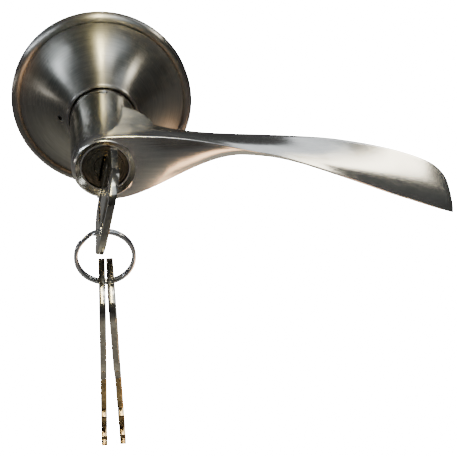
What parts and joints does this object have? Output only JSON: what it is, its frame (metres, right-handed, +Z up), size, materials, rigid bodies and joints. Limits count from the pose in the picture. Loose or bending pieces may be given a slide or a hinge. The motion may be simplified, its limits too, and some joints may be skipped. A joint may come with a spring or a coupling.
{
  "type": "door lever handle",
  "caption": "Outside half of a keyed door lever set: round trumpet rose, tapered neck, twisted wave lever, lock cylinder in the nose, keys on a split ring.",
  "frame": {"origin": "centre of the rose's back face, on the face of the door", "axes": "+Y into the door along the spindle axis, +Z up, +X along the lever towards its tip; the user stands on the -Y side"},
  "size_m": [0.1483, 0.1487, 0.1112],
  "materials": {
    "rose_nickel": "satin nickel plate on brass, brushed",
    "lever_nickel": "satin nickel plate on a zinc casting, brushed lengthwise",
    "zinc_steel": "zinc-plated steel",
    "spring_steel": "oiled spring steel",
    "bush_brass": "turned brass",
    "lock_brass": "turned brass",
    "plug_nickel": "satin nickel on brass, darkened",
    "washer_nylon": "natural nylon",
    "spacer_plastic": "black moulded plastic",
    "key_nickel": "nickel-plated brass, cut edges bare brass",
    "ring_steel": "bright nickel-plated steel"
  },
  "bodies": {
    "trim": {"rose_cover": "rose_nickel", "mounting_plate": "zinc_steel", "threaded_posts": "zinc_steel", "neck_bush": "bush_brass", "thrust_washer": "washer_nylon", "stop_pins": "zinc_steel", "return_spring": "spring_steel"},
    "lever": {"lever": "lever_nickel", "spring_driver": "zinc_steel", "lever_circlip": "spring_steel", "spindle": "zinc_steel", "cylinder_shell": "lock_brass", "cylinder_spacer": "spacer_plastic", "driver_pins": "lock_brass", "pin_springs": "spring_steel", "chamber_cap": "lock_brass", "catch_spring": "spring_steel"},
    "catch": {"lever_catch": "zinc_steel"},
    "plug": {"plug": "plug_nickel", "key_pins": "lock_brass", "plug_clip": "spring_steel", "tailpiece": "zinc_steel"},
    "key": {"key": "key_nickel"},
    "ring": {"split_ring": "ring_steel"},
    "spare_left": {"spare_key_left": "key_nickel"},
    "spare_right": {"spare_key_right": "key_nickel"}
  },
  "joints": [
    {"name": "lever_turn", "type": "hinge", "parent": "trim", "child": "lever", "pos_m": [0, 0, 0], "axis": [0, 1, 0], "range_deg": [-50, 50], "stiffness_Nm_per_rad": 1.5, "springref_deg": -5.73, "deforming": ["return_spring"]},
    {"name": "catch_press", "type": "slide", "parent": "lever", "child": "catch", "axis": [0, 0, -1], "range_m": [0, 0.0008], "stiffness_N_per_m": 200, "deforming": ["catch_spring"]},
    {"name": "plug_turn", "type": "hinge", "parent": "lever", "child": "plug", "pos_m": [0, 0, 0], "axis": [0, 1, 0], "range_deg": [-13, 77]},
    {"name": "key_slide", "type": "slide", "parent": "plug", "child": "key", "axis": [0, -1, 0], "range_m": [0, 0.032]},
    {"name": "ring_swing", "type": "hinge", "parent": "key", "child": "ring", "pos_m": [-0.00106, -0.0942, -0.00458], "axis": [1, 0, 0], "range_deg": [-45, 8]},
    {"name": "spare_left_swing", "type": "hinge", "parent": "ring", "child": "spare_left", "pos_m": [-0.00226, -0.0942, -0.02038], "axis": [1, 0, 0], "range_deg": [-25, 25]},
    {"name": "spare_right_swing", "type": "hinge", "parent": "ring", "child": "spare_right", "pos_m": [0.00014, -0.0942, -0.02038], "axis": [1, 0, 0], "range_deg": [-25, 25]}
  ]
}
